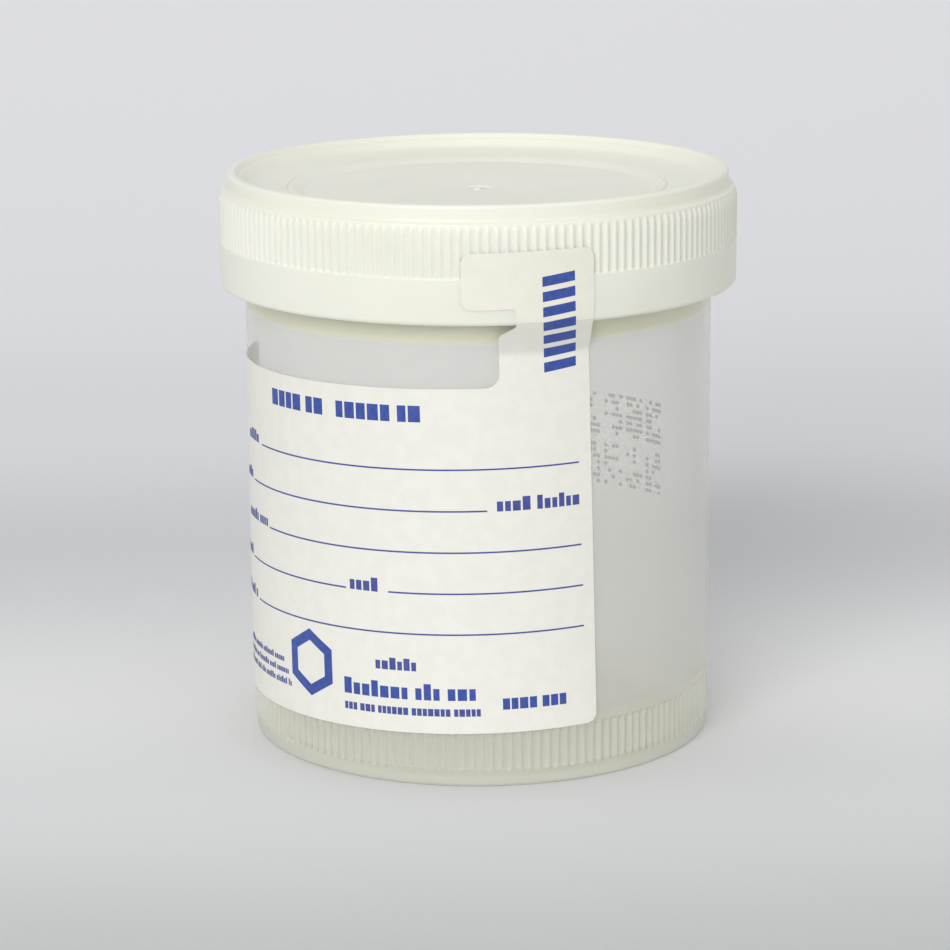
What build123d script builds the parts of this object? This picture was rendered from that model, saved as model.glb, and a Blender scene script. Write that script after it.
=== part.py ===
from build123d import *

import os
from math import cos, pi, radians, sin

os.makedirs("parts", exist_ok=True)

# A 120 ml specimen container: a moulded cup, a screw lid, and one die-cut paper label.
# The label's narrow neck runs up over the lid's edge as a seal, and tears there when
# the lid is first opened. Millimetres, +Z up, origin under the middle of the foot, and
# the label's front towards -Y.

# Cup
cup_height = 70.0
cup_radius = 30.05
wall_thickness = 1.1
floor_thickness = 0.9
foot_recess = 0.3
foot_ring_width = 3.0
foot_chamfer = 0.4
floor_corner_chamfer = 1.8
neck_height = 13.8
neck_thickness = 1.7
neck_step_height = 0.5
mouth_chamfer = 0.4

# Flutes round the foot
flute_count = 156
flute_depth = 0.3
flute_setback = 0.03
flute_bottom = 2.0
flute_height = 5.5

# Thread on the neck
thread_pitch = 4.2
thread_turns = 1.25
thread_height = 1.1
thread_root_width = 1.9
thread_crest_width = 0.8
thread_start_drop = 8.3
thread_bite = 0.25

# Lid
skirt_drop = 10.9
skirt_clearance = 0.3
skirt_thickness = 1.8
skirt_chamfer = 0.6
shoulder_chamfer = 0.7
panel_thickness = 1.45
dish_drop = 0.6
dish_radius = 21.6
dish_slope_width = 2.7
dish_thickness = 1.3
stacking_rim_height = 2.15
stacking_rim_setback = 1.1
stacking_rim_width = 1.9
stacking_rim_chamfer = 0.35
panel_corner_chamfer = 0.6
plug_depth = 3.0
plug_thickness = 1.1
plug_clearance = 0.12
plug_lead_in = 0.4

# Gate mark in the middle of the lid
gate_dimple_radius = 2.0
gate_dimple_depth = 0.2
gate_nub_radius = 0.5
gate_nub_height = 0.35

# Grip ribs round the lid
rib_count = 180
rib_depth = 0.32
rib_setback = 0.04
plain_band_height = 5.7

# Label: flat sizes of the sheet, sideways ones from the middle of the cup's front. Drops
# and rises are counted from the lid's lower edge.
paper_thickness = 0.14
label_bottom = 7.1
label_top_drop = 8.2
label_right = 14.4
label_wrap_angle = 104.0
label_tilt = 1.3
label_corner_radius = 1.3
seal_neck_left = 3.0
seal_neck_drop = 1.5
seal_neck_fillet = 1.8
seal_waist_left = 5.2
seal_waist_drop = 0.3
seal_waist_fillet = 0.5
seal_shoulder_radius = 1.0
tab_left = -1.3
tab_right = 15.1
tab_rise = 2.0
tab_height = 6.9

# How the paper leaves the cup and meets the lid
paper_lift_drop = 4.0
paper_corner_rise = 0.3
paper_bend_radius = 1.4
tear_gap = 0.02

# How near an edge has to be to the place asked for, and how far cuts reach past a wall
same_place = 0.001
cut_margin = 5.0


def rings(piece, radius, height):
    """The piece's circular edges of this radius at this height."""
    level = piece.edges().filter_by(GeomType.CIRCLE).filter_by_position(
        Axis.Z, height - same_place, height + same_place
    )
    return level.filter_by(lambda edge: abs(edge.radius - radius) < same_place)


def across(arc, radius):
    """Sideways place, seen from the front, of a point this far round a wall."""
    return radius * sin(arc / radius)


def toothed(count, crest_radius, root_radius):
    """Corners of a round outline with this many pointed teeth."""
    step = 2 * pi / count
    corners = []
    for tooth in range(count):
        corners.append((crest_radius * cos(tooth * step), crest_radius * sin(tooth * step)))
        corners.append((root_radius * cos((tooth + 0.5) * step), root_radius * sin((tooth + 0.5) * step)))
    return corners


# Heights and radii of the cup that follow
floor_top = foot_recess + floor_thickness
neck_bottom = cup_height - neck_height
wall_bore = cup_radius - wall_thickness
mouth_radius = cup_radius - neck_thickness
thread_start = cup_height - thread_start_drop
thread_root_radius = cup_radius - thread_bite
thread_radius = cup_radius + thread_height
flute_crest_radius = cup_radius - flute_setback

# Heights and radii of the lid, which sits on the cup's rim
skirt_bore = thread_radius + skirt_clearance
lid_radius = skirt_bore + skirt_thickness
skirt_bottom = cup_height - skirt_drop
panel_top = cup_height + panel_thickness
lid_top = panel_top + stacking_rim_height
stacking_rim_radius = lid_radius - stacking_rim_setback
stacking_rim_bore = stacking_rim_radius - stacking_rim_width
dish_top = panel_top - dish_drop
dish_underside = dish_top - dish_thickness
plug_radius = mouth_radius - plug_clearance
plug_bore = plug_radius - plug_thickness
plug_bottom = cup_height - plug_depth
rib_bottom = skirt_bottom + plain_band_height
rib_top = panel_top - shoulder_chamfer
rib_crest_radius = lid_radius - rib_setback

# Heights of the label and seal
label_top = skirt_bottom - label_top_drop
label_middle = (label_bottom + label_top) / 2
label_back = -cup_radius * cos(radians(label_wrap_angle))
tab_bottom = skirt_bottom + tab_rise
tab_top = tab_bottom + tab_height
paper_lift = skirt_bottom - paper_lift_drop
tear_height = skirt_bottom + paper_corner_rise

# Cup: one moulding, thicker in the neck than in the wall
with BuildPart() as cup:
    with BuildSketch(Plane.XZ):
        with BuildLine():
            Polyline(
                (0, foot_recess),
                (cup_radius - foot_ring_width, foot_recess),
                (cup_radius - foot_ring_width, 0),
                (cup_radius, 0),
                (cup_radius, cup_height),
                (mouth_radius, cup_height),
                (mouth_radius, neck_bottom + neck_step_height),
                (wall_bore, neck_bottom),
                (wall_bore, floor_top),
                (0, floor_top),
                close=True,
            )
        make_face()
    revolve(axis=Axis.Z)

    # Thread: one ridge that winds up the neck
    with BuildLine():
        thread_path = Helix(
            pitch=thread_pitch,
            height=thread_pitch * thread_turns,
            radius=thread_root_radius,
            center=(0, 0, thread_start),
        )
    with BuildSketch(Plane(origin=thread_path @ 0, x_dir=(1, 0, 0), z_dir=thread_path % 0)):
        with BuildLine():
            Polyline(
                (0, -thread_root_width / 2),
                (thread_radius - thread_root_radius, -thread_crest_width / 2),
                (thread_radius - thread_root_radius, thread_crest_width / 2),
                (0, thread_root_width / 2),
                close=True,
            )
        make_face()
    sweep(path=thread_path, is_frenet=True)

    # Edges
    chamfer(rings(cup, cup_radius, 0), foot_chamfer)
    chamfer(rings(cup, cup_radius, cup_height), mouth_chamfer)
    chamfer(rings(cup, wall_bore, floor_top), floor_corner_chamfer)

    # Flutes: the wall outside their toothed outline is cut away
    with BuildSketch(Plane.XY.offset(flute_bottom)):
        Circle(cup_radius + cut_margin)
        Polygon(
            *toothed(flute_count, flute_crest_radius, cup_radius - flute_depth),
            align=None,
            mode=Mode.SUBTRACT,
        )
    extrude(amount=flute_height, mode=Mode.SUBTRACT)
cup.part.label = "cup"
export_step(cup.part, "parts/cup.step")

# Lid: one moulding, with a plug that seals inside the mouth
with BuildPart() as lid:
    with BuildSketch(Plane.XZ):
        with BuildLine():
            Polyline(
                (0, dish_top),
                (dish_radius, dish_top),
                (dish_radius + dish_slope_width, panel_top),
                (stacking_rim_bore, panel_top),
                (stacking_rim_bore, lid_top),
                (stacking_rim_radius, lid_top),
                (stacking_rim_radius, panel_top),
                (lid_radius, panel_top),
                (lid_radius, skirt_bottom),
                (skirt_bore, skirt_bottom),
                (skirt_bore, cup_height),
                (plug_radius, cup_height),
                (plug_radius, plug_bottom),
                (plug_bore, plug_bottom),
                (plug_bore, dish_underside),
                (0, dish_underside),
                close=True,
            )
        make_face()
    revolve(axis=Axis.Z)
    chamfer(rings(lid, lid_radius, panel_top), shoulder_chamfer)
    chamfer(rings(lid, stacking_rim_radius, lid_top), stacking_rim_chamfer)
    chamfer(rings(lid, stacking_rim_bore, panel_top), panel_corner_chamfer)
    chamfer(rings(lid, lid_radius, skirt_bottom), skirt_chamfer)
    chamfer(rings(lid, plug_radius, plug_bottom), plug_lead_in)

    # Gate mark: a nub in a shallow round dimple
    with BuildSketch(Plane.XY.offset(dish_top)):
        Circle(gate_dimple_radius)
        Circle(gate_nub_radius, mode=Mode.SUBTRACT)
    extrude(amount=-gate_dimple_depth, mode=Mode.SUBTRACT)
    with BuildSketch(Plane.XY.offset(dish_top - gate_dimple_depth)):
        Circle(gate_nub_radius)
    extrude(amount=gate_nub_height)

    # Grip ribs between the plain band and the shoulder
    with BuildSketch(Plane.XY.offset(rib_bottom)):
        Circle(lid_radius + cut_margin)
        Polygon(
            *toothed(rib_count, rib_crest_radius, lid_radius - rib_depth),
            align=None,
            mode=Mode.SUBTRACT,
        )
    extrude(amount=rib_top - rib_bottom, mode=Mode.SUBTRACT)
lid.part.label = "lid"
export_step(lid.part, "parts/lid.step")

# Label and seal tab, still in one: a skin on the cup and lid, cut to the die's outline
with BuildPart() as sheet:
    with BuildSketch(Plane.XZ):
        with BuildLine():
            glued_side = FilletPolyline(
                (cup_radius, label_bottom - cut_margin),
                (cup_radius, paper_lift),
                (lid_radius, tear_height),
                (lid_radius, tab_top + cut_margin),
                radius=paper_bend_radius,
            )
            offset(glued_side, amount=paper_thickness, side=Side.RIGHT)
        make_face()
    revolve(axis=Axis.Z)
    with BuildSketch(
        Plane(
            origin=(0, -lid_radius - cut_margin, label_middle),
            x_dir=(cos(radians(label_tilt)), 0, sin(radians(label_tilt))),
            z_dir=(0, -1, 0),
        )
    ):
        with BuildLine():
            FilletPolyline(
                (-lid_radius, label_bottom - label_middle),
                (across(label_right, cup_radius), label_bottom - label_middle),
                (across(label_right, cup_radius), paper_lift - label_middle),
                (across(tab_right, lid_radius), tab_bottom - label_middle),
                (across(tab_right, lid_radius), tab_top - label_middle),
                (across(tab_left, lid_radius), tab_top - label_middle),
                (across(tab_left, lid_radius), tab_bottom - label_middle),
                (across(seal_waist_left, lid_radius), tab_bottom - label_middle),
                (across(seal_waist_left, lid_radius), skirt_bottom - seal_waist_drop - label_middle),
                (across(seal_neck_left, cup_radius), skirt_bottom - seal_neck_drop - label_middle),
                (across(seal_neck_left, cup_radius), label_top - label_middle),
                (-lid_radius, label_top - label_middle),
                radius=[
                    label_corner_radius,
                    label_corner_radius,
                    label_corner_radius,
                    label_corner_radius,
                    label_corner_radius,
                    label_corner_radius,
                    seal_waist_fillet,
                    seal_waist_fillet,
                    seal_shoulder_radius,
                    seal_neck_fillet,
                ],
            )
            Line(
                (-lid_radius, label_top - label_middle),
                (-lid_radius, label_bottom - label_middle),
            )
        make_face()
    extrude(amount=-(lid_radius + cut_margin + label_back), mode=Mode.INTERSECT)

# Label: what is glued to the cup, up to the tear line
with BuildPart() as label:
    add(sheet.part)
    split(bisect_by=Plane.XY.offset(tear_height - tear_gap / 2), keep=Keep.BOTTOM)
label.part.label = "label"
export_step(label.part, "parts/label.step")

# Seal tab: what is glued to the lid, from the tear line up
with BuildPart() as seal_tab:
    add(sheet.part)
    split(bisect_by=Plane.XY.offset(tear_height + tear_gap / 2), keep=Keep.TOP)
seal_tab.part.label = "seal_tab"
export_step(seal_tab.part, "parts/seal_tab.step")
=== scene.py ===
import math
import random

import bmesh
import bpy
from mathutils import Matrix, Vector


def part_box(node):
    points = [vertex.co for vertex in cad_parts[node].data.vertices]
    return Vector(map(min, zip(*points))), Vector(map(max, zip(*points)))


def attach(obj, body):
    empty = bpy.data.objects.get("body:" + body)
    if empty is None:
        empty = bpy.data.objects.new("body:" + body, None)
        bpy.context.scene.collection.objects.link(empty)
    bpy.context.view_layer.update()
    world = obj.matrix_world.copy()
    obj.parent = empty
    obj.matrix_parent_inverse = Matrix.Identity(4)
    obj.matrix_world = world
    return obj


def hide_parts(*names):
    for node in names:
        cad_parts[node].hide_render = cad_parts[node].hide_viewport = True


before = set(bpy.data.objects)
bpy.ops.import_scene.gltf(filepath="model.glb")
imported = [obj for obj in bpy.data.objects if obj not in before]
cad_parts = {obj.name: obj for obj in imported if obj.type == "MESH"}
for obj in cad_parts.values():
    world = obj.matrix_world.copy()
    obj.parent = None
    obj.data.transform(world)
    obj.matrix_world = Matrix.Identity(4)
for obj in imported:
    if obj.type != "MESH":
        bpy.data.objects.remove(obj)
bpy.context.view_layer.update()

# Lengths are in millimetres unless a comment says metres; METRES turns them into Blender's
METRES = 0.001
TURN = 2 * math.pi


def node_span(node):
    """A node's largest radius, lowest and highest place."""
    low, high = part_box(node)
    return (high.x - low.x) / 2 / METRES, low.z / METRES, high.z / METRES


# The outer sizes of the two mouldings come from the frame
lid_radius, skirt_bottom, lid_top = node_span("lid")
thread_radius, _, cup_height = node_span("cup")

# Cup
thread_height = 1.1
cup_radius = thread_radius - thread_height
foot_draft = 0.15
wall_thickness = 1.1
neck_height = 13.8
neck_thickness = 1.7
neck_step_height = 0.5
neck_step_fall = 0.3
neck_step_rounding = 0.6
mouth_rounding = 0.4
mouth_edge_height = 1.0
foot_recess = 0.3
foot_ring_width = 3.0
foot_ring_lean = 0.3
foot_ring_rounding = 0.25
foot_edge_rounding = 0.55
foot_edge_height = 1.5
floor_thickness = 0.9
floor_rounding = 2.2
witness_line_height = 8.7
witness_line_step = 0.025
witness_line_width = 0.1

# Flutes round the foot
flute_count = 156
flute_depth = 0.3
flute_bottom = 1.9
flute_scallop = 0.75
flute_top = 7.5
flute_fade = 0.35
flute_sharpness = 1.5

# Threads of the cup and the lid
thread_pitch = 4.2
thread_turns = 1.25
thread_start_drop = 8.3
thread_root_half = 0.95
thread_crest_half = 0.35
lid_thread_height = 0.95
thread_run_out = 0.06

# Lid
panel_thickness = 1.45
panel_rise = 0.5
panel_fall = 0.1
panel_bend_width = 2.75
panel_bend_rise = 0.1
panel_bend_rounding = 8.0
dish_drop = 0.6
dish_radius = 21.6
dish_slope_width = 2.7
dish_slope_foot = 0.7
dish_rounding = 0.8
dish_thickness = 1.3
crease_depth = 0.22
crease_rounding = 0.06
crease_inner_width = 0.15
crease_inner_rise = 0.1
crease_inner_rounding = 0.08
crease_outer_width = 0.2
crease_outer_rise = 0.05
crease_outer_rounding = 0.1
crease_bead_width = 0.45
crease_bead_rounding = 0.3
rim_setback = 1.1
rim_width = 1.9
rim_rounding = 0.45
rim_foot_width = 0.95
rim_foot_rounding = 2.0
rim_lean = 0.1
rim_crease_drop = 0.7
rim_crease_rounding = 0.12
rim_crease_width = 0.35
rim_crease_rise = 0.08
rim_crease_edge_rounding = 0.1
rim_lip_width = 0.85
rim_lip_rounding = 0.3
shoulder_foot_rounding = 0.5
shoulder_rounding = 0.24
skirt_thickness = 1.8
skirt_edge_height = 1.0
skirt_outer_rounding = 0.6
skirt_inner_rounding = 0.3
lid_corner_rounding = 0.6
plug_depth = 3.0
plug_thickness = 1.1
plug_clearance = 0.12
plug_root_rounding = 0.2
plug_tip_rounding = 0.4
plug_inner_rounding = 0.8
gate_dimple_radius = 2.1
gate_dimple_depth = 0.2
gate_dimple_slope = 0.5
gate_dimple_rounding = 0.5
gate_floor_rounding = 0.3
gate_nub_radius = 0.5
gate_nub_height = 0.16
gate_nub_rounding = 0.12

# Grip ribs round the lid
rib_count = 180
rib_depth = 0.34
rib_drop = 0.3
rib_ledge = 0.28
rib_tip = 0.95
rib_sharpness = 1.6
plain_band_height = 5.7

# How finely the mouldings are cut: points round for each flute or rib, and rings
plain_points = 2
flute_points = 10
rib_points = 8
plain_arc_step = 15.0
fine_arc_step = 10.0
ring_margin = 0.05
flute_foot_rings = 15
flute_foot_start = 0.2
flute_foot_end = 0.15
flute_side_rings = 4
flute_side_start = 2.0
flute_head_rings = 5
wall_rings = (8.2, 8.55, 8.6, 8.65, 8.7, 8.8, 12, 18, 24, 30, 36, 42, 48, 53)
neck_ring = 58.5
cup_thread_rings = 64
cup_thread_rings_bottom = 60.0
floor_rings = (20.0, 12.0, 4.0)
rib_tip_rings = 9
rib_tip_crowding = 1.6
rib_side_rings = 4
rib_side_start = 0.6
rib_side_end = 0.9
rib_ledge_rings = 7
rib_ledge_margin = 0.1
band_ring_drop = 0.25
lid_thread_rings = 32
lid_thread_start = 0.6
lid_corner_drop = 1.2
panel_under_rings = (18.0, 8.0)

# Label: arcs and heights of the flat sheet, as the die cuts it
paper_thickness = 0.14
label_bottom = 7.1
label_height = 43.8
label_right = 14.4
label_wrap_angle = 104.0
label_tilt = math.radians(1.3)
label_corner_radius = 1.3
seal_neck_left = 3.0
seal_neck_drop = 1.5
seal_neck_fillet = 1.8
seal_waist_left = 5.2
seal_waist_drop = 0.3
seal_waist_fillet = 0.5
seal_shoulder_radius = 1.0
tab_left = -1.3
tab_right = 15.1
tab_rise = 2.0
tab_height = 6.9
paper_lift_drop = 4.0
paper_corner_rise = 0.3
paper_bend = 0.18
tear_gap = 0.02

# How finely the paper is cut, and the angle from which its edges are shaded as edges
sheet_arc_step = 12.0
sheet_strip = 0.9
bend_margin = 2.5
bend_rows = 26
paper_edge_angle = 50

# Print, as arcs and rises on the flat sheet
ink_height = 0.012
rule_width = 0.2
rule_top = 11.8
rule_pitch = 5.23
emblem_arc = -24.3
emblem_rise = -14.6
emblem_radius = 4.4
emblem_bore = 2.9
stripe_count = 7
stripe_left = 8.5
stripe_right = 12.6
stripe_top = 36.3
stripe_pitch = 1.86
stripe_width = 1.2
stripe_slant = 0.5

# Left and right ends of the ruled lines, row by row
rule_ends = (
    [(-34.6, 12.7)],
    [(-38.3, 1.0)],
    [(-32.8, 12.8)],
    [(-39.8, -17.8), (-11.8, 12.9)],
    [(-37.6, 12.9)],
)

# Rows of blocks that stand for print: (left, right, base, size, seed)
caption_drop = 0.1
captions = (
    (-40.7, -35.2, rule_top, 1.45, 10),
    (-42.9, -38.9, rule_top - rule_pitch, 1.45, 11),
    (-41.9, -33.4, rule_top - rule_pitch * 2, 1.45, 12),
    (-44.9, -40.4, rule_top - rule_pitch * 3, 1.45, 13),
    (-45.7, -38.2, rule_top - rule_pitch * 4, 1.45, 14),
)
small_rows = (
    (2.2, 12.8, rule_top - rule_pitch - caption_drop, 1.75, 21),
    (-17.2, -12.3, rule_top - rule_pitch * 3 - caption_drop, 1.75, 22),
    (-44.0, -29.6, -15.7, 0.85, 30),
    (-44.0, -29.0, -17.15, 0.85, 31),
    (-44.0, -28.4, -18.6, 0.85, 32),
    (-13.9, -8.3, -13.9, 1.55, 41),
)
small_capitals = (-18.6, -0.2, -19.65, 0.95, 42)
heading_rows = (
    (-30.8, -19.9, 17.75, 2.05, 51),
    (-18.4, -6.4, 17.75, 2.05, 52),
)
bold_row = (-18.6, -0.4, -17.6, 2.1, 53)
bold_number = (2.2, 10.7, -18.9, 1.45, 54)

# Blocks in a row of print: sizes as shares of the row's
capital_widths = (0.5, 0.75)
small_widths = (0.34, 0.56)
small_height = 0.72
tall_share = 0.3
shortest_end = 0.3
letter_space = 0.14
word_space = 0.35
word_lengths = (3, 7)

# Dots printed on the wall's far side, in cells
dot_cells_across = 4
dot_cells_down = 2
dots_across = 5
dots_down = 7
dot_share = 0.5
dot_seed = 7
dot_sides = 8
dot_radius = 0.3
dot_pitch = 0.62
dot_pitch_down = 0.88
dot_code_left = 65.8
dot_code_top = 38.2

# Cup plastic: colours, and how cloudy its outside and inside are from foot to collar
cup_colour = (0.97, 0.965, 0.93)
foot_tint = (0.95, 0.95, 0.8)
wall_tint = (0.97, 0.96, 0.885)
# The collar's tint is partly the thick neck's yellower plastic and partly painted shade under the
# lid
collar_tint_and_shade = (0.8, 0.79, 0.6)
foot_cloud = 0.46
wall_cloud = 0.42
collar_cloud = 0.75
inner_floor_cloud = 0.6
inner_wall_cloud = 0.15
inner_collar_cloud = 0.3
foot_blend = 0.2
collar_blend = 0.004
floor_blend = 0.02
inside_margin = 0.1
outside_margin = 0.45

# Shaders: subsurface reach in metres, and grain as (lump size, depth)
cup_roughness = 0.25
cup_ior = 1.9
cup_subsurface = 0.5
cup_subsurface_reach = 0.0015
cup_subsurface_colour = (1.0, 0.95, 0.8)
cup_grain = ((0.5, 0.004), (9.0, 0.03))
lid_roughness = 0.36
lid_subsurface = 0.3
lid_subsurface_reach = 0.0025
lid_subsurface_colour = (1.0, 0.9, 0.6)
lid_grain = ((0.35, 0.003), (4.0, 0.01))
paper_roughness = 0.55
paper_grain = ((0.12, 0.004), (2.5, 0.008))
ink_roughness = 0.45
ink_grain = ((0.12, 0.003),)
grain_detail = 3.0
lump_detail = 2.0

# Other colours, in pairs between which a surface drifts
lid_colour = (0.88, 0.88, 0.78)
lid_tints = ((0.885, 0.885, 0.785), (0.865, 0.865, 0.76))
paper_colour = (0.86, 0.855, 0.8)
paper_tints = ((0.87, 0.862, 0.805), (0.85, 0.84, 0.775))
paper_over_lid_tints = ((0.87, 0.85, 0.755), (0.85, 0.83, 0.73))
paper_warm_drop = 2.0
paper_warm_rise = 1.0
blue_tints = ((0.03, 0.07, 0.34), (0.045, 0.09, 0.38))
fine_blue_tints = ((0.05, 0.07, 0.3), (0.07, 0.09, 0.34))
dot_tints = ((0.02, 0.02, 0.06), (0.04, 0.04, 0.09))
drift_from = 0.35
drift_to = 0.65

# Sizes of the lumps in which colours drift
lid_lumps = 14.0
paper_lumps = 1.8
ink_lumps = 0.6

# The photograph's camera, in pixels, millimetres and radians
photo_width = 950
camera_focal = 3382.5
camera_place = (0.0, -430.99, 137.06)
camera_pitch = 0.2372
camera_yaw = -0.0015
camera_roll = -0.0087
camera_sensor = 36.0
camera_near = 10.0

# Backdrop, with light and shade painted into its colour from front to back: darker at the front
# edge and in a band just behind the object, lighter round the object's foot and further back
floor_rows = (-2500.0, -600.0, 0.0)
floor_half_width = 3000.0
sweep_start = 260.0
sweep_radius = 500.0
sweep_angle = 70.0
sweep_steps = 12
sweep_end = 2500.0
backdrop_colour = (0.66, 0.67, 0.68)
backdrop_roughness = 0.9
painted_shade_front = -100.0
painted_shade_back = 900.0
# Painted light and shade along the floor's depth, as (share, colour)
backdrop_painted_light_and_shade = (
    (0.0, (0.57, 0.59, 0.595)),
    (0.07, (0.75, 0.76, 0.775)),
    (0.11, (0.83, 0.84, 0.845)),
    (0.19, (0.68, 0.69, 0.715)),
    (0.27, (0.8, 0.81, 0.845)),
    (0.4, (0.88, 0.89, 0.925)),
)

# Lamps: name, place and size in metres, power in watts
lamps = (
    ("key", (-0.36, -1.0, 0.56), (0.6, 0.6), 7.3),
    ("top", (0.0, 0.1, 1.0), (0.6, 0.6), 0.9),
    ("fill", (1.0, -0.6, 0.4), (0.6, 0.8), 1.1),
)
lamp_aim = (0.0, 0.0, 0.04)
world_colour = (1.0, 0.99, 0.97, 1.0)
world_strength = 0.52

# Heights and radii that follow
neck_bottom = cup_height - neck_height
mouth_radius = cup_radius - neck_thickness
floor_top = foot_recess + floor_thickness
thread_start = cup_height - thread_start_drop
panel_top = cup_height + panel_thickness
dish_top = panel_top - dish_drop
panel_under = dish_top - dish_thickness
crease_radius = dish_radius + dish_slope_width
gate_floor = dish_top - gate_dimple_depth
gate_top = gate_floor + gate_nub_height
rim_radius = lid_radius - rim_setback
rim_bore = rim_radius - rim_width
rim_crease = lid_top - rim_crease_drop
skirt_bore = lid_radius - skirt_thickness
plug_radius = mouth_radius - plug_clearance
plug_bore = plug_radius - plug_thickness
plug_end = cup_height - plug_depth
rib_bottom = skirt_bottom + plain_band_height
rib_top = panel_top - rib_drop
label_top = label_bottom + label_height
label_middle = (label_bottom + label_top) / 2
tab_bottom = skirt_bottom + tab_rise
tab_top = tab_bottom + tab_height
paper_lift = skirt_bottom - paper_lift_drop
tear_height = skirt_bottom + paper_corner_rise


# Small helpers
def smooth(value):
    """0 below 0, 1 above 1, and a smooth rise between them."""
    t = min(max(value, 0.0), 1.0)
    return t * t * (3 - 2 * t)


def spread(low, high, count):
    """Evenly spaced values from low to high, both of them included."""
    return [low + (high - low) * index / (count - 1) for index in range(count)]


def new_mesh(name, vertices, faces, body):
    """A closed, smooth-shaded object from points in millimetres, riding on a body."""
    mesh = bpy.data.meshes.new(name)
    mesh.from_pydata([(x * METRES, y * METRES, z * METRES) for x, y, z in vertices], [], faces)
    shape = bmesh.new()
    shape.from_mesh(mesh)
    bmesh.ops.recalc_face_normals(shape, faces=shape.faces[:])
    for face in shape.faces:
        face.smooth = True
    shape.to_mesh(mesh)
    shape.free()
    piece = bpy.data.objects.new(name, mesh)
    bpy.context.scene.collection.objects.link(piece)
    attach(piece, body)
    return piece


def sharpen(piece, degrees):
    """Splits the shading at edges that turn by more than this angle."""
    bpy.context.view_layer.objects.active = piece
    piece.select_set(True)
    bpy.ops.object.shade_smooth_by_angle(angle=math.radians(degrees))
    piece.select_set(False)


def rounded(corners, arc_step=plain_arc_step):
    """Outline through corners (x, y, radius), with each corner that has a radius rounded."""
    points = []
    count = len(corners)
    for index, (x, y, radius) in enumerate(corners):
        if not radius:
            points.append((x, y))
            continue
        here = Vector((x, y))
        before = Vector(corners[index - 1][:2])
        after = Vector(corners[(index + 1) % count][:2])
        to_before = (before - here).normalized()
        to_after = (after - here).normalized()
        opening = to_before.angle(to_after)
        reach = radius / math.tan(opening / 2)
        centre = here + (to_before + to_after).normalized() * radius / math.sin(opening / 2)
        start = here + to_before * reach - centre
        turn = math.pi - opening
        side = 1 if to_before.cross(to_after) < 0 else -1
        steps = max(2, math.ceil(math.degrees(turn) / arc_step))
        for step in range(steps + 1):
            angle = side * turn * step / steps
            turned = Matrix.Rotation(angle, 2) @ start
            points.append((centre.x + turned.x, centre.y + turned.y))
    return points


class Lathe:
    """Rings of points round the axis, joined into one skin from ring to ring."""

    def __init__(self):
        self.vertices = []
        self.faces = []
        self.last = None

    def ring(self, count, radius, height, shift=None):
        """Adds a ring; shift(angle, height) moves each of its points out or in."""
        start = len(self.vertices)
        for index in range(count):
            angle = TURN * index / count
            r = radius + (shift(angle, height) if shift else 0.0)
            self.vertices.append((r * math.sin(angle), -r * math.cos(angle), height))
        self.join(start, count)

    def profile(self, count, points):
        """Adds a plain ring at each point (radius, height) of a profile."""
        for radius, height in points:
            self.ring(count, radius, height)

    def pole(self, height):
        """Adds a point on the axis."""
        self.vertices.append((0.0, 0.0, height))
        self.join(len(self.vertices) - 1, 1)

    def join(self, start, count):
        """Faces from the last ring to this one; one of their counts divides the other."""
        last, self.last = self.last, (start, count)
        if last is None:
            return
        finer, wider = sorted((last, self.last), key=lambda ring: -ring[1])
        fine_start, fine = finer
        wide_start, wide = wider
        share = fine // wide
        for index in range(fine if wide == 1 else wide):
            if wide == 1:
                face = [fine_start + index, fine_start + (index + 1) % fine, wide_start]
            else:
                steps = range(index * share, (index + 1) * share + 1)
                face = [fine_start + step % fine for step in steps]
                face += [wide_start + (index + 1) % wide, wide_start + index]
            self.faces.append(face)


def helix_ridge(angle, height, start):
    """Height from 0 to 1 of a thread's ridge at a place on the wall."""
    phase = angle / TURN
    highest = 0.0
    for turn in range(-1, 3):
        along = phase + turn
        if not -thread_run_out < along < thread_turns + thread_run_out:
            continue
        centre = start + thread_pitch * along
        flank = (thread_root_half - abs(height - centre)) / (thread_root_half - thread_crest_half)
        to_end = min(along + thread_run_out, thread_turns + thread_run_out - along)
        highest = max(highest, smooth(flank) * smooth(to_end / (2 * thread_run_out)))
    return highest


# Cup. The corners of its profiles, and of the lid's, are (radius, height, rounding)
def flute_shift(angle, height):
    """How far a flute sinks the foot's wall: rounded at its lower end, faded at its upper."""
    phase = angle * flute_count / TURN
    ridge = 0.5 + 0.5 * math.cos(TURN * phase)
    groove = 1 - ridge ** flute_sharpness
    across = 2 * (phase % 1) - 1
    scallop = flute_bottom + flute_scallop * (1 - math.sqrt(max(0.0, 1 - across ** 2)))
    low = smooth((height - scallop) / flute_fade)
    high = smooth((flute_top - height) / flute_fade)
    return -flute_depth * groove * low * high


def flute_rings():
    """Heights of the rings through the flutes, closest where these begin and end."""
    scallop_top = flute_bottom + flute_scallop + flute_fade
    fade_bottom = flute_top - flute_fade
    foot = spread(flute_bottom - flute_foot_start, scallop_top + flute_foot_end, flute_foot_rings)
    side = spread(flute_bottom + flute_side_start, fade_bottom - ring_margin, flute_side_rings)
    head = spread(fade_bottom + ring_margin, flute_top + ring_margin, flute_head_rings)
    return foot + side + head


def cup_wall(height):
    """Radius of the cup's drafted outer wall."""
    step = witness_line_step * smooth((witness_line_height - height) / witness_line_width)
    return cup_radius - foot_draft * max(0.0, 1 - height / neck_bottom) - step


def cup_underside():
    """Profile of the underside and the foot ring, from the axis outwards."""
    ring_inner = cup_radius - foot_ring_width
    corners = [
        (0.0, foot_recess, 0),
        (ring_inner, foot_recess, foot_ring_rounding),
        (ring_inner + foot_ring_lean, 0.0, foot_ring_rounding),
        (cup_wall(0), 0.0, foot_edge_rounding),
        (cup_wall(foot_edge_height), foot_edge_height, 0),
    ]
    return rounded(corners)[1:-1]


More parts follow.
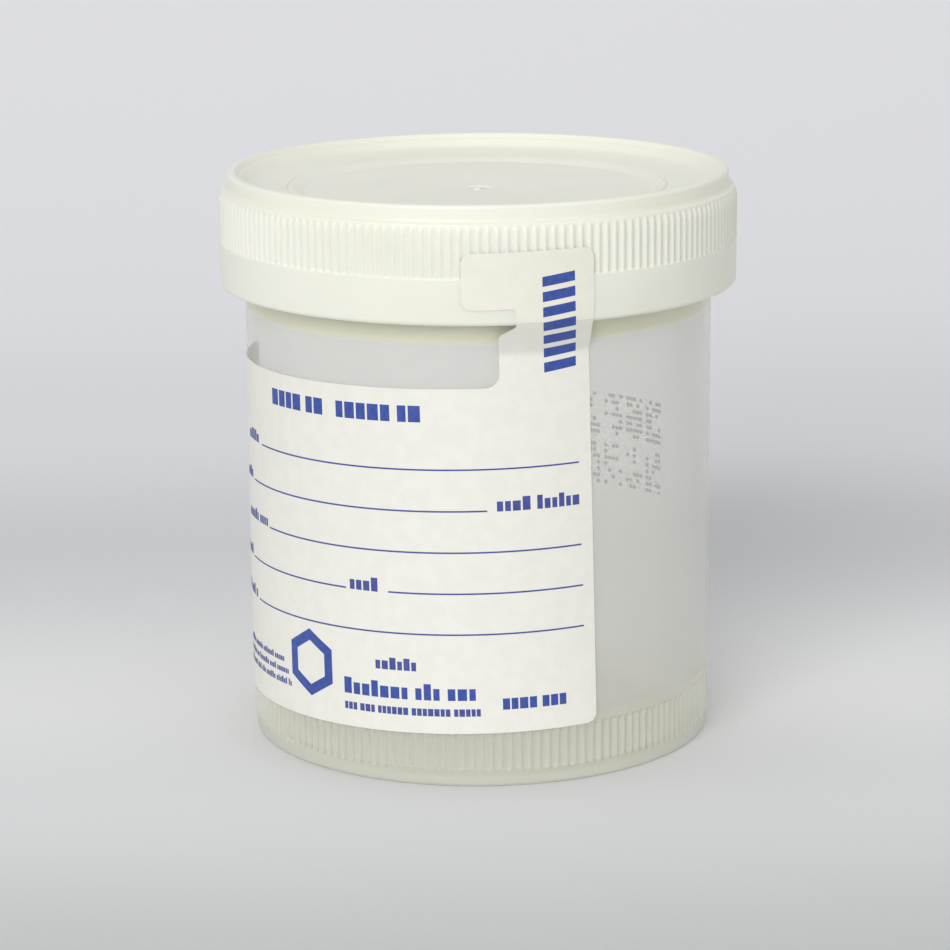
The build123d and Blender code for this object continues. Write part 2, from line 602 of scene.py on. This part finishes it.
def cup_inside():
    """Profile of the mouth's edge, the neck with its step, the wall's inside and the floor."""
    neck_end = neck_bottom - neck_step_fall
    corners = [
        (cup_radius, cup_height - mouth_edge_height, 0),
        (cup_radius, cup_height, mouth_rounding),
        (mouth_radius, cup_height, mouth_rounding),
        (mouth_radius, neck_bottom + neck_step_height, mouth_rounding),
        (cup_wall(neck_bottom) - wall_thickness, neck_end, neck_step_rounding),
        (cup_wall(floor_top) - wall_thickness, floor_top, floor_rounding),
        (0.0, floor_top, 0),
    ]
    return rounded(corners, fine_arc_step)[1:-1]


def make_cup():
    """The cup, from the middle of its underside round to the middle of its floor."""
    plain = plain_points * flute_count
    lathe = Lathe()
    lathe.pole(foot_recess)
    lathe.profile(plain, cup_underside())
    for height in flute_rings():
        lathe.ring(flute_points * flute_count, cup_wall(height), height, flute_shift)
    for height in (*wall_rings, neck_bottom, neck_ring):
        lathe.ring(plain, cup_wall(height), height)

    def thread_shift(angle, height):
        return thread_height * helix_ridge(angle, height, thread_start)

    thread_top = cup_height - mouth_edge_height
    for height in spread(cup_thread_rings_bottom, thread_top, cup_thread_rings):
        lathe.ring(plain, cup_radius, height, thread_shift)
    lathe.profile(plain, cup_inside())
    for radius in floor_rings:
        lathe.ring(plain, radius, floor_top)
    lathe.pole(floor_top)
    return new_mesh("cup_moulding", lathe.vertices, lathe.faces, "cup")


# Lid
def rib_shift(angle, height):
    """How far the lid's side lies inside the ribs' crests: ribs rise from it with rounded tips."""
    ridge = (0.5 + 0.5 * math.cos(rib_count * angle)) ** rib_sharpness
    ledge = smooth((height - rib_bottom) / rib_ledge)
    tip = math.sqrt(min(1.0, max(0.0, (rib_top - height) / rib_tip)))
    return -rib_depth * (1 - ridge * tip) * ledge


def rib_rings():
    """Heights of the rings through the ribs, closest at their tips and their lower ends."""
    shares = spread(0.0, 1.0, rib_tip_rings)
    tips = [rib_top - rib_tip * share ** rib_tip_crowding for share in shares]
    side = spread(rib_top - rib_tip - rib_side_start, rib_bottom + rib_side_end, rib_side_rings)
    ledge_top = rib_bottom + rib_ledge + rib_ledge_margin
    return tips + side + spread(ledge_top, rib_bottom - ring_margin, rib_ledge_rings)


def lid_outside():
    """Profile from the gate mark over dish, crease, panel and stacking rim to the ribs."""
    crease_edge = panel_top - panel_fall
    crease_inner = crease_radius - crease_inner_width
    crease_outer = crease_radius + crease_outer_width
    rim_crease_edge = rim_crease + rim_crease_rise
    corners = [
        (0.0, gate_top, 0),
        (gate_nub_radius, gate_top, gate_nub_rounding),
        (gate_nub_radius, gate_floor, 0),
        (gate_dimple_radius - gate_dimple_slope, gate_floor, gate_floor_rounding),
        (gate_dimple_radius, dish_top, gate_dimple_rounding),
        (dish_radius + dish_slope_foot, dish_top, dish_rounding),
        (crease_radius - crease_bead_width, panel_top, crease_bead_rounding),
        (crease_inner, crease_edge + crease_inner_rise, crease_inner_rounding),
        (crease_radius, crease_edge - crease_depth, crease_rounding),
        (crease_outer, crease_edge + crease_outer_rise, crease_outer_rounding),
        (rim_bore - panel_bend_width, panel_top + panel_bend_rise, panel_bend_rounding),
        (rim_bore - rim_foot_width, panel_top + panel_rise, rim_foot_rounding),
        (rim_bore + rim_lean, rim_crease, rim_crease_rounding),
        (rim_bore + rim_crease_width, rim_crease_edge, rim_crease_edge_rounding),
        (rim_bore + rim_lip_width, lid_top, rim_lip_rounding),
        (rim_radius, lid_top, rim_rounding),
        (rim_radius, panel_top, shoulder_foot_rounding),
        (lid_radius - rib_depth, panel_top, shoulder_rounding),
        (lid_radius - rib_depth, rib_top, 0),
    ]
    return rounded(corners, fine_arc_step)[1:-1]


def lid_lip():
    """Profile of the skirt's lower edge, from outside to inside."""
    corners = [
        (lid_radius, rib_bottom - skirt_edge_height, 0),
        (lid_radius, skirt_bottom, skirt_outer_rounding),
        (skirt_bore, skirt_bottom, skirt_inner_rounding),
        (skirt_bore, skirt_bottom + skirt_edge_height, 0),
    ]
    return rounded(corners)[:-1]


def lid_inside():
    """Profile of the lid's inner corner, the plug seal and the panel's underside."""
    corners = [
        (skirt_bore, cup_height - lid_corner_drop, 0),
        (skirt_bore, cup_height, lid_corner_rounding),
        (plug_radius, cup_height, plug_root_rounding),
        (plug_radius, plug_end, plug_tip_rounding),
        (plug_bore, plug_end, plug_tip_rounding),
        (plug_bore, panel_under, plug_inner_rounding),
        (0.0, panel_under, 0),
    ]
    return rounded(corners)[1:-1]


def make_lid():
    """The lid, from the gate mark round to the middle of the panel's underside."""
    plain = plain_points * rib_count
    lathe = Lathe()
    lathe.pole(gate_top)
    lathe.profile(plain, lid_outside())
    for height in rib_rings():
        lathe.ring(rib_points * rib_count, lid_radius, height, rib_shift)
    lathe.ring(plain, lid_radius, rib_bottom - band_ring_drop)
    lathe.profile(plain, lid_lip())

    def thread_shift(angle, height):
        return -lid_thread_height * helix_ridge(angle, height, thread_start - thread_pitch / 2)

    thread_bottom = skirt_bottom + lid_thread_start
    for height in spread(thread_bottom, cup_height - lid_corner_drop, lid_thread_rings):
        lathe.ring(plain, skirt_bore, height, thread_shift)
    lathe.profile(plain, lid_inside())
    for radius in panel_under_rings:
        lathe.ring(plain, radius, panel_under)
    lathe.pole(panel_under)
    return new_mesh("lid_moulding", lathe.vertices, lathe.faces, "lid")


# Label
def paper_radius(height):
    """Radius of the paper's glued side: on the cup, leaning out to the lid, on the lid."""
    lean = (lid_radius - cup_radius) / (tear_height - paper_lift)
    straight = cup_radius + lean * (height - paper_lift)

    def eased(value, knee):
        """Largest of value and knee, with the corner between them rounded."""
        gap = value - knee
        return knee + (gap + math.sqrt(gap * gap + paper_bend ** 2)) / 2

    risen = eased(straight, cup_radius)
    return -eased(-risen, -lid_radius)


def lay(arc, rise, lift=0.0):
    """Place on the wrapped sheet of a point of the flat one, lifted off its glued side."""
    height = label_middle + rise * math.cos(label_tilt) + arc * math.sin(label_tilt)
    turned = arc * math.cos(label_tilt) - rise * math.sin(label_tilt)
    radius = paper_radius(height)
    angle = turned / radius
    return (radius + lift) * math.sin(angle), -(radius + lift) * math.cos(angle), height


def sheet_outline():
    """The die's outline on the flat sheet."""
    left = -math.radians(label_wrap_angle) * cup_radius
    bottom = label_bottom - label_middle
    top = label_top - label_middle
    flag_bottom = tab_bottom - label_middle
    flag_top = tab_top - label_middle
    return rounded(
        [
            (left, bottom, label_corner_radius),
            (label_right, bottom, label_corner_radius),
            (label_right, paper_lift - label_middle, label_corner_radius),
            (tab_right, flag_bottom, label_corner_radius),
            (tab_right, flag_top, label_corner_radius),
            (tab_left, flag_top, label_corner_radius),
            (tab_left, flag_bottom, label_corner_radius),
            (seal_waist_left, flag_bottom, seal_waist_fillet),
            (seal_waist_left, skirt_bottom - seal_waist_drop - label_middle, seal_waist_fillet),
            (seal_neck_left, skirt_bottom - seal_neck_drop - label_middle, seal_shoulder_radius),
            (seal_neck_left, top, seal_neck_fillet),
            (left, top, label_corner_radius),
        ],
        arc_step=sheet_arc_step,
    )


def cut_shape(outlines, rise_cuts=()):
    """Flat faces with these outlines, cut across so that they can bend."""
    shape = bmesh.new()
    for outline in outlines:
        shape.faces.new([shape.verts.new((x, y, 0)) for x, y in outline])
    low = min(x for outline in outlines for x, y in outline)
    high = max(x for outline in outlines for x, y in outline)
    for index in range(math.ceil(low / sheet_strip), math.floor(high / sheet_strip) + 1):
        bisect(shape, (index * sheet_strip, 0, 0), (1, 0, 0))
    for rise in rise_cuts:
        bisect(shape, (0, rise, 0), (0, 1, 0))
    return shape


def bisect(shape, place, normal, clear_above=False, clear_below=False):
    """Cuts a flat shape along a line, and may clear what lies on one side of it."""
    bmesh.ops.bisect_plane(
        shape,
        geom=shape.verts[:] + shape.edges[:] + shape.faces[:],
        dist=1e-6,
        plane_co=place,
        plane_no=normal,
        clear_outer=clear_above,
        clear_inner=clear_below,
    )


def wrapped(name, shape, low, high, body):
    """Wraps a flat shape as a closed skin from one lift off the glued side to another."""
    shape.verts.index_update()
    outer = [lay(vertex.co.x, vertex.co.y, high) for vertex in shape.verts]
    inner = [lay(vertex.co.x, vertex.co.y, low) for vertex in shape.verts]
    count = len(outer)
    faces = [[vertex.index for vertex in face.verts] for face in shape.faces]
    under = [[count + index for index in face[::-1]] for face in faces]
    walls = []
    for edge in shape.edges:
        if len(edge.link_faces) != 1:
            continue
        loop = edge.link_loops[0]
        start = loop.vert.index
        end = loop.link_loop_next.vert.index
        walls.append([end, start, count + start, count + end])
    shape.free()
    piece = new_mesh(name, outer + inner, faces + under + walls, body)
    sharpen(piece, paper_edge_angle)
    return piece


def tear(shape, above):
    """Keeps what is above the tear line, or what is below it."""
    seam = Vector((math.sin(label_tilt), math.cos(label_tilt), 0))
    edge = tear_height - label_middle + (tear_gap / 2 if above else -tear_gap / 2)
    bisect(shape, seam * edge, seam, clear_above=not above, clear_below=above)


def bend_cuts():
    """Rises at which the sheet is cut so that it can bend from the cup to the lid."""
    heights = spread(paper_lift - bend_margin, tear_height + bend_margin, bend_rows)
    return [height - label_middle for height in heights]


def make_paper(name, body, above):
    """The part of the sheet above or below the tear line."""
    shape = cut_shape([sheet_outline()], bend_cuts())
    tear(shape, above)
    return wrapped(name, shape, 0.0, paper_thickness, body)


# Print: ruled lines and plain blocks
def bar(left, right, low, high):
    """Outline of an upright block."""
    return [(left, low), (right, low), (right, high), (left, high)]


def blocks(left, right, base, size, seed, capitals=False):
    """Outlines of a row of plain blocks, grouped as a line of small print is."""
    chance = random.Random(seed)
    widths = capital_widths if capitals else small_widths
    outlines = []
    place = left
    room = chance.randint(*word_lengths)
    while place < right - shortest_end * size:
        width = size * chance.uniform(*widths)
        tall = size if capitals or chance.random() < tall_share else small_height * size
        outlines.append(bar(place, min(place + width, right), base, base + tall))
        place += width + letter_space * size
        room -= 1
        if not room:
            place += word_space * size
            room = chance.randint(*word_lengths)
    return outlines


def rules():
    """Outlines of the label's ruled lines."""
    outlines = []
    for row, spans in enumerate(rule_ends):
        rise = rule_top - rule_pitch * row
        for left, right in spans:
            outlines.append(bar(left, right, rise - rule_width / 2, rise + rule_width / 2))
    return outlines


def small_print():
    """Outlines of the captions beside the ruled lines and of the small print below them."""
    outlines = []
    for row in captions + small_rows:
        outlines += blocks(*row)
    return outlines + blocks(*small_capitals, capitals=True)


def bold_print():
    """Outlines of the heading, the bold row and the bold number's place."""
    outlines = []
    for row in heading_rows:
        outlines += blocks(*row, capitals=True)
    return outlines + blocks(*bold_row) + blocks(*bold_number, capitals=True)


def hexagon(arc, rise, radius):
    """Corners of a hexagon that stands on a corner."""
    return [
        (arc + radius * math.sin(TURN * corner / 6), rise + radius * math.cos(TURN * corner / 6))
        for corner in range(6)
    ]


def emblem():
    """Outlines of a plain hexagonal ring, side by side."""
    outer = hexagon(emblem_arc, emblem_rise, emblem_radius)
    inner = hexagon(emblem_arc, emblem_rise, emblem_bore)
    sides = []
    for corner in range(6):
        after = (corner + 1) % 6
        sides.append([outer[corner], outer[after], inner[after], inner[corner]])
    return sides


def seal_stripes():
    """Outlines of the slanted stripes down the seal."""
    outlines = []
    for stripe in range(stripe_count):
        rise = stripe_top - stripe_pitch * stripe
        outlines.append(
            [
                (stripe_left, rise - stripe_width - stripe_slant),
                (stripe_right, rise - stripe_width),
                (stripe_right, rise),
                (stripe_left, rise - stripe_slant),
            ]
        )
    return outlines


def make_print(name, outlines, body, above=False, cuts=()):
    """Ink on the paper; where it has cuts, the part above or below the tear line."""
    shape = cut_shape(outlines, cuts)
    if cuts:
        tear(shape, above)
    return wrapped(name, shape, paper_thickness - ink_height, paper_thickness + ink_height, body)


def make_dot_code():
    """Printed dots in no order, on the outside of the wall behind the label's free side."""
    chance = random.Random(dot_seed)
    vertices = []
    faces = []
    for row in range(dot_cells_down * (dots_down + 1)):
        for column in range(dot_cells_across * (dots_across + 1)):
            printed = chance.random() < dot_share
            between = (row + 1) % (dots_down + 1) == 0 or (column + 1) % (dots_across + 1) == 0
            if printed and not between:
                arc = dot_code_left + column * dot_pitch
                add_dot(vertices, faces, arc / cup_radius, dot_code_top - row * dot_pitch_down)
    return new_mesh("dot_code", vertices, faces, "cup")


def add_dot(vertices, faces, angle, height):
    """One round dot, as a thin plate on the wall."""
    start = len(vertices)
    wall = cup_wall(height)
    for lift in (-ink_height, ink_height):
        for side in range(dot_sides):
            turned = angle + dot_radius * math.cos(TURN * side / dot_sides) / wall
            place = height + dot_radius * math.sin(TURN * side / dot_sides)
            radius = wall + lift
            vertices.append((radius * math.sin(turned), -radius * math.cos(turned), place))
    faces.append(list(range(start, start + dot_sides)))
    faces.append(list(range(start + 2 * dot_sides - 1, start + dot_sides - 1, -1)))
    for side in range(dot_sides):
        after = (side + 1) % dot_sides
        lower = [start + side, start + after]
        faces.append(lower + [point + dot_sides for point in lower[::-1]])


# Materials
def material(name, colour, roughness, **constants):
    """A material whose shader's own sockets hold what is the same all over."""
    made = bpy.data.materials.new(name)
    made.use_nodes = True
    shader = made.node_tree.nodes["Principled BSDF"]
    shader.inputs["Base Color"].default_value = (*colour, 1.0)
    shader.inputs["Roughness"].default_value = roughness
    for socket, value in constants.items():
        shader.inputs[socket.replace("_", " ")].default_value = value
    return made


def paint(tree, colour):
    """Leads a colour to the shader."""
    tree.links.new(colour, tree.nodes["Principled BSDF"].inputs["Base Color"])


def place_node(tree):
    """Places on the object, in metres, whatever pose or view it is seen in."""
    return tree.nodes.new("ShaderNodeTexCoord").outputs["Object"]


def noise(tree, size, detail=lump_detail):
    """Noise whose lumps are about this size in millimetres."""
    texture = tree.nodes.new("ShaderNodeTexNoise")
    texture.inputs["Scale"].default_value = 1 / (size * METRES)
    texture.inputs["Detail"].default_value = detail
    tree.links.new(place_node(tree), texture.inputs["Vector"])
    return texture.outputs["Fac"]


def ramp(tree, value, stops):
    """Colours along a value: stops are (place, colour)."""
    node = tree.nodes.new("ShaderNodeValToRGB")
    node.color_ramp.interpolation = "EASE"
    while len(node.color_ramp.elements) < len(stops):
        node.color_ramp.elements.new(0.5)
    for element, (place, colour) in zip(node.color_ramp.elements, stops):
        element.position = place
        element.color = (*colour, 1.0)
    tree.links.new(value, node.inputs["Fac"])
    return node.outputs["Color"]


def share_between(tree, value, low, high):
    """0 where a value in metres is at low, and 1 where it is at high, in millimetres."""
    share = tree.nodes.new("ShaderNodeMapRange")
    share.inputs["From Min"].default_value = low * METRES
    share.inputs["From Max"].default_value = high * METRES
    tree.links.new(value, share.inputs["Value"])
    return share.outputs["Result"]


def place_along(tree, axis, low, high):
    """0 at one place along an axis, and 1 at another."""
    parts = tree.nodes.new("ShaderNodeSeparateXYZ")
    tree.links.new(place_node(tree), parts.inputs["Vector"])
    return share_between(tree, parts.outputs[axis], low, high)


def axis_distance(tree, low, high):
    """0 at one distance from the axis, and 1 at another."""
    flat = tree.nodes.new("ShaderNodeVectorMath")
    flat.operation = "MULTIPLY"
    flat.inputs[1].default_value = (1.0, 1.0, 0.0)
    tree.links.new(place_node(tree), flat.inputs[0])
    length = tree.nodes.new("ShaderNodeVectorMath")
    length.operation = "LENGTH"
    tree.links.new(flat.outputs["Vector"], length.inputs[0])
    return share_between(tree, length.outputs["Value"], low, high)


def blended(tree, share, first, second):
    """The first colour where share is 0, and the second where it is 1."""
    mix = tree.nodes.new("ShaderNodeMix")
    mix.data_type = "RGBA"
    tree.links.new(share, mix.inputs["Factor"])
    tree.links.new(first, mix.inputs["A"])
    tree.links.new(second, mix.inputs["B"])
    return mix.outputs["Result"]


def mottled(tree, tints, size):
    """Colour that drifts between two tints in soft lumps."""
    colour, other = tints
    return ramp(tree, noise(tree, size), [(drift_from, colour), (drift_to, other)])


def grain(tree, *layers):
    """Adds fine relief: layers are (lump size, depth), both in millimetres."""
    normal = None
    for size, depth in layers:
        bump = tree.nodes.new("ShaderNodeBump")
        bump.inputs["Distance"].default_value = depth * METRES
        tree.links.new(noise(tree, size, grain_detail), bump.inputs["Height"])
        if normal:
            tree.links.new(normal, bump.inputs["Normal"])
        normal = bump.outputs["Normal"]
    tree.links.new(normal, tree.nodes["Principled BSDF"].inputs["Normal"])


def cup_plastic():
    """Natural polypropylene: milky and clear, yellower and cloudier where it is thick, with
    painted shade darkening the collar under the lid.
    """
    made = material(
        "cup_plastic",
        cup_colour,
        cup_roughness,
        IOR=cup_ior,
        Subsurface_Weight=cup_subsurface,
        Subsurface_Scale=cup_subsurface_reach,
        Subsurface_Radius=cup_subsurface_colour,
    )
    tree = made.node_tree
    place = place_along(tree, "Z", 0.0, cup_height)
    foot = (witness_line_height - foot_blend) / cup_height
    wall = (witness_line_height + foot_blend) / cup_height
    neck = neck_bottom / cup_height
    collar = neck + collar_blend
    floor = floor_top / cup_height

    def cloud(*stops):
        return ramp(tree, place, [(share, (amount,) * 3) for share, amount in stops])

    outside = cloud(
        (foot, foot_cloud), (wall, wall_cloud), (neck, wall_cloud), (collar, collar_cloud)
    )
    inside = cloud(
        (floor, inner_floor_cloud),
        (floor + floor_blend, inner_wall_cloud),
        (neck, inner_wall_cloud),
        (collar, inner_collar_cloud),
    )
    side = axis_distance(
        tree, cup_radius - wall_thickness + inside_margin, cup_radius - outside_margin
    )
    # The collar's tint holds painted shade under the lid as well as the thick neck's yellower
    # plastic
    tints = [(foot, foot_tint), (wall, wall_tint), (neck, wall_tint), (collar, collar_tint_and_shade)]
    paint(tree, ramp(tree, place, tints))
    alpha = tree.nodes["Principled BSDF"].inputs["Alpha"]
    tree.links.new(blended(tree, side, inside, outside), alpha)
    grain(tree, *cup_grain)
    return made


def lid_plastic():
    """Ivory polypropylene with a soft sheen."""
    made = material(
        "lid_plastic",
        lid_colour,
        lid_roughness,
        Subsurface_Weight=lid_subsurface,
        Subsurface_Scale=lid_subsurface_reach,
        Subsurface_Radius=lid_subsurface_colour,
    )
    tree = made.node_tree
    paint(tree, mottled(tree, lid_tints, lid_lumps))
    grain(tree, *lid_grain)
    return made


def label_paper():
    """Coated white label paper, through which the ivory lid shows a little."""
    made = material("label_paper", paper_colour, paper_roughness)
    tree = made.node_tree
    clean = mottled(tree, paper_tints, paper_lumps)
    over_lid = mottled(tree, paper_over_lid_tints, paper_lumps)
    low = skirt_bottom - paper_warm_drop
    share = place_along(tree, "Z", low, skirt_bottom + paper_warm_rise)
    paint(tree, blended(tree, share, clean, over_lid))
    grain(tree, *paper_grain)
    return made


def ink(name, tints):
    """Printing ink, a little uneven."""
    made = material(name, tints[0], ink_roughness)
    tree = made.node_tree
    paint(tree, mottled(tree, tints, ink_lumps))
    grain(tree, *ink_grain)
    return made


# Stage
def make_stage():
    """A pale floor that sweeps up into a backdrop behind the object, with light and shade painted
    into its colour from front to back.
    """
    profile = [(y, 0.0) for y in (*floor_rows, sweep_start)]
    slope = math.radians(sweep_angle)
    for step in range(1, sweep_steps + 1):
        turn = slope * step / sweep_steps
        y = sweep_start + sweep_radius * math.sin(turn)
        profile.append((y, sweep_radius * (1 - math.cos(turn))))
    end_y, end_z = profile[-1]
    profile.append((end_y + sweep_end * math.cos(slope), end_z + sweep_end * math.sin(slope)))
    vertices = []
    faces = []
    for y, z in profile:
        for x in (-floor_half_width, floor_half_width):
            vertices.append((x * METRES, y * METRES, z * METRES))
    for row in range(len(profile) - 1):
        faces.append([2 * row, 2 * row + 1, 2 * row + 3, 2 * row + 2])
    mesh = bpy.data.meshes.new("backdrop")
    mesh.from_pydata(vertices, [], faces)
    for polygon in mesh.polygons:
        polygon.use_smooth = True
    backdrop = bpy.data.objects.new("backdrop", mesh)
    bpy.context.scene.collection.objects.link(backdrop)
    finish = material("backdrop_paper", backdrop_colour, backdrop_roughness)
    tree = finish.node_tree
    # Painted light and shade: darker at the floor's front edge and just behind the object, lighter
    # round its foot
    place = place_along(tree, "Y", painted_shade_front, painted_shade_back)
    paint(tree, ramp(tree, place, backdrop_painted_light_and_shade))
    backdrop.data.materials.append(finish)


def area_light(name, place, size, power):
    """A soft light at a place, turned towards the object."""
    lamp = bpy.data.lights.new(name, "AREA")
    lamp.shape = "RECTANGLE"
    lamp.size, lamp.size_y = size
    lamp.energy = power
    holder = bpy.data.objects.new(name, lamp)
    holder.location = place
    ahead = Vector(lamp_aim) - Vector(place)
    holder.rotation_euler = ahead.to_track_quat("-Z", "Y").to_euler()
    bpy.context.scene.collection.objects.link(holder)


def make_lights():
    """An even pale world and the lamps."""
    world = bpy.data.worlds.new("studio")
    world.use_nodes = True
    background = world.node_tree.nodes["Background"]
    background.inputs["Color"].default_value = world_colour
    background.inputs["Strength"].default_value = world_strength
    bpy.context.scene.world = world
    for lamp in lamps:
        area_light(*lamp)


def make_camera():
    """The photograph's camera, found from the lid's and the foot's outlines."""
    lens = bpy.data.cameras.new("photo_camera")
    lens.sensor_width = camera_sensor
    lens.lens = camera_focal * lens.sensor_width / photo_width
    lens.clip_start = camera_near * METRES
    holder = bpy.data.objects.new("photo_camera", lens)
    ahead = Vector(
        (
            math.sin(camera_yaw) * math.cos(camera_pitch),
            math.cos(camera_yaw) * math.cos(camera_pitch),
            -math.sin(camera_pitch),
        )
    )
    level = ahead.cross(Vector((0, 0, 1))).normalized()
    above = level.cross(ahead)
    right = level * math.cos(camera_roll) + above * math.sin(camera_roll)
    up = above * math.cos(camera_roll) - level * math.sin(camera_roll)
    turn = Matrix((right, up, -ahead)).transposed()
    holder.matrix_world = Matrix.Translation(Vector(camera_place) * METRES) @ turn.to_4x4()
    bpy.context.scene.collection.objects.link(holder)
    bpy.context.scene.camera = holder


def finished(piece, finish, slot, *nodes):
    """Gives a piece its material and hides the nodes that it stands for; slot is not used."""
    piece.data.materials.clear()
    piece.data.materials.append(finish)
    if nodes:
        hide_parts(*nodes)


def main():
    paper = label_paper()
    blue = ink("blue_ink", blue_tints)
    fine_blue = ink("fine_blue_ink", fine_blue_tints)
    dot_ink = ink("dot_ink", dot_tints)
    finished(make_cup(), cup_plastic(), "cup_plastic", "cup")
    finished(make_lid(), lid_plastic(), "lid_plastic", "lid")
    finished(make_paper("label_paper", "cup", False), paper, "label_paper", "label")
    finished(make_paper("seal_tab_paper", "lid", True), paper, "label_paper", "seal_tab")
    finished(make_print("ruled_lines", rules() + small_print(), "cup"), fine_blue, "label_paper")
    finished(make_print("bold_print", bold_print() + emblem(), "cup"), blue, "label_paper")
    stripes = seal_stripes()
    finished(make_print("neck_stripes", stripes, "cup", False, bend_cuts()), blue, "label_paper")
    finished(make_print("tab_stripes", stripes, "lid", True, bend_cuts()), blue, "label_paper")
    finished(make_dot_code(), dot_ink, "cup_plastic")
    make_stage()
    make_lights()
    make_camera()
    bpy.context.scene.view_settings.view_transform = "Standard"


main()
bpy.context.view_layer.update()
